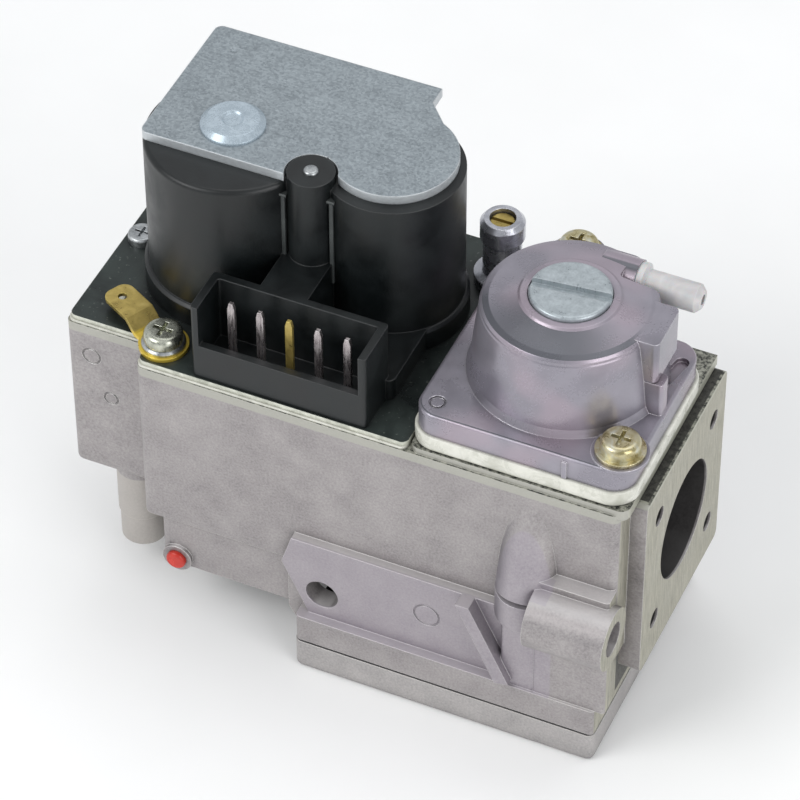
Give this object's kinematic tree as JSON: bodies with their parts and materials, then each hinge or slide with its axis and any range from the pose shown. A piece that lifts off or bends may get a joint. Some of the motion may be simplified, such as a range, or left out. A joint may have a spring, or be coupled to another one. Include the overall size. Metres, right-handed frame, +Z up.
{
  "type": "gas valve",
  "caption": "Die-cast combination gas control valve with twin solenoid coils, plug connector and servo pressure regulator between flanged inlet and outlet ports.",
  "frame": {"origin": "centre of the inlet port mouth, on the inlet flange face", "axes": "+X along the flow from the inlet flange to the outlet flange, +Z up through the coils and the regulator, -Y the front with the connector, the mounting lug and the tapping boss"},
  "size_m": [0.123, 0.0711, 0.1076],
  "materials": {
    "cast_aluminium": "die-cast, satin",
    "grey_casting": "die-cast, smooth",
    "dark_plate": "semi-gloss dark coat",
    "galvanised_steel": "galvanised",
    "bright_steel": "bright",
    "stainless_steel": "drawn",
    "yellow_zinc": "yellow passivated zinc",
    "brass": "stamped",
    "tinned_brass": "tinned",
    "copper_wire": "enamelled wire",
    "black_plastic": "moulded",
    "pale_plastic": "moulded",
    "grey_plastic": "moulded",
    "red_plastic": "moulded",
    "white_gasket": "smooth",
    "black_rubber": "moulded"
  },
  "bodies": {
    "valve": {"bottom_cover": "cast_aluminium", "bottom_cover_screws": "bright_steel", "coil_housing": "black_plastic", "coil_yoke": "galvanised_steel", "connector_earth_pin": "brass", "connector_pins": "tinned_brass", "deck_gasket": "white_gasket", "deck_plate": "dark_plate", "deck_plate_screws": "bright_steel", "earth_screw": "yellow_zinc", "earth_tab": "brass", "earth_washer": "bright_steel", "first_bobbin": "black_plastic", "first_core": "stainless_steel", "first_guide_tube": "stainless_steel", "first_plunger_spring": "bright_steel", "first_winding": "copper_wire", "inlet_strainer": "stainless_steel", "main_diaphragm": "black_rubber", "main_valve_spring": "bright_steel", "post_pin": "bright_steel", "regulator_diaphragm": "black_rubber", "regulator_gasket": "white_gasket", "regulator_housing": "grey_casting", "regulator_screws": "yellow_zinc", "regulator_spring": "bright_steel", "regulator_washers": "yellow_zinc", "sealing_plug": "red_plastic", "second_bobbin": "black_plastic", "second_core": "stainless_steel", "second_guide_tube": "stainless_steel", "second_plunger_spring": "bright_steel", "second_winding": "copper_wire", "spring_lid": "cast_aluminium", "test_nipple": "cast_aluminium", "valve_body": "cast_aluminium", "vent_nipple": "pale_plastic", "yoke_cap": "bright_steel"},
    "first_plunger_body": {"first_plunger": "stainless_steel", "first_valve_seal": "black_rubber"},
    "second_plunger_body": {"second_plunger": "stainless_steel", "second_valve_seal": "black_rubber"},
    "main_valve_body": {"main_valve_stem": "bright_steel", "main_valve_seal": "black_rubber"},
    "regulator_plate_body": {"regulator_plate": "bright_steel"},
    "spring_seat_body": {"spring_seat": "bright_steel"},
    "adjusting_screw_body": {"adjusting_screw": "grey_plastic"},
    "cap_seal_body": {"cap_seal": "black_rubber"},
    "adjuster_cap_body": {"adjuster_cap": "grey_plastic"},
    "test_screw_body": {"test_nipple_screw": "brass"}
  },
  "joints": [
    {"name": "first_plunger_lift", "type": "slide", "parent": "valve", "child": "first_plunger_body", "axis": [0, 0, 1], "range_m": [0, 0.0026], "stiffness_N_per_m": 300, "springref_m": -0.012, "deforming": ["first_plunger_spring"]},
    {"name": "second_plunger_lift", "type": "slide", "parent": "valve", "child": "second_plunger_body", "axis": [0, 0, 1], "range_m": [0, 0.0012], "stiffness_N_per_m": 150, "springref_m": -0.01, "deforming": ["second_plunger_spring"]},
    {"name": "main_valve_lift", "type": "slide", "parent": "valve", "child": "main_valve_body", "axis": [0, 0, 1], "range_m": [0, 0.0025], "stiffness_N_per_m": 300, "springref_m": -0.01, "deforming": ["main_valve_spring", "main_diaphragm"]},
    {"name": "regulator_plate_travel", "type": "slide", "parent": "valve", "child": "regulator_plate_body", "axis": [0, 0, 1], "range_m": [-0.0006, 0.001], "stiffness_N_per_m": 200, "deforming": ["regulator_spring", "regulator_diaphragm"]},
    {"name": "adjusting_screw_turn", "type": "hinge", "parent": "spring_seat_body", "child": "adjusting_screw_body", "pos_m": [0.0987, -0.0025, 0], "axis": [0, 0, 1], "range_deg": [-720, 360]},
    {"name": "spring_seat_travel", "type": "slide", "parent": "valve", "child": "spring_seat_body", "axis": [0, 0, 1], "range_m": [-0.0021, 0.0011]},
    {"name": "adjuster_cap_turn", "type": "hinge", "parent": "cap_seal_body", "child": "adjuster_cap_body", "pos_m": [0.0987, -0.0025, 0], "axis": [0, 0, 1], "range_deg": [0, 720]},
    {"name": "adjuster_cap_lift", "type": "slide", "parent": "valve", "child": "cap_seal_body", "axis": [0, 0, 1], "range_m": [0, 0.0021]},
    {"name": "test_screw_turn", "type": "hinge", "parent": "valve", "child": "test_screw_body", "pos_m": [0.0742, 0.023, 0], "axis": [0, 0, 1], "range_deg": [0, 540]}
  ],
  "couplings": [
    {"joint": "spring_seat_travel", "follows": "adjusting_screw_turn", "m_per_rad": 0.00015915},
    {"joint": "adjuster_cap_lift", "follows": "adjuster_cap_turn", "m_per_rad": 0.00015915}
  ]
}
